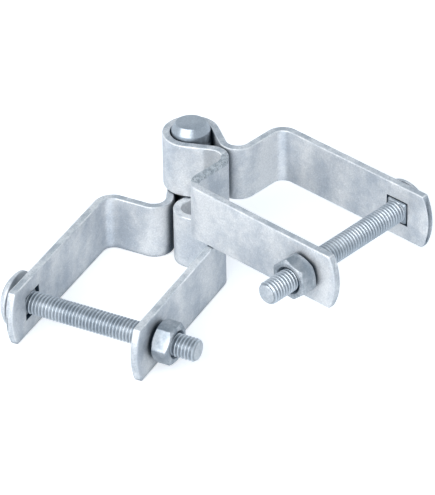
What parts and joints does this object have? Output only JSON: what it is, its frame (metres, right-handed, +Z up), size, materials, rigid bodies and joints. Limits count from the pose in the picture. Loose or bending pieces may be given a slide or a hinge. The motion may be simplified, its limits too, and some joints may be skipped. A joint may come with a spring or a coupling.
{
  "type": "gate hinge",
  "caption": "Galvanised gate hinge: bent steel bands that turn on a common upright pin, each closed round a square post by a coach bolt and hexagon nut.",
  "frame": {"origin": "on the pin's axis, at the pin's lower end", "axes": "+Z up along the pin; +X along the arms of the lower band, away from the pin; +Y across the lower clamp, towards its nut"},
  "size_m": [0.1518, 0.1793, 0.0661],
  "materials": {
    "galvanised_band": "hot-dip galvanised, mottled satin",
    "galvanised_pin": "hot-dip galvanised, satin",
    "galvanised_bolt": "hot-dip galvanised thread, satin",
    "galvanised_nut": "hot-dip galvanised, satin"
  },
  "bodies": {
    "lower": {"lower_band": "galvanised_band", "hinge_pin": "galvanised_pin", "lower_coach_bolt": "galvanised_bolt", "lower_hex_nut": "galvanised_nut"},
    "upper": {"upper_band": "galvanised_band", "upper_coach_bolt": "galvanised_bolt", "upper_hex_nut": "galvanised_nut"}
  },
  "joints": [
    {"name": "swing", "type": "hinge", "parent": "lower", "child": "upper", "pos_m": [0, 0, 0], "axis": [0, 0, 1], "continuous": true}
  ]
}
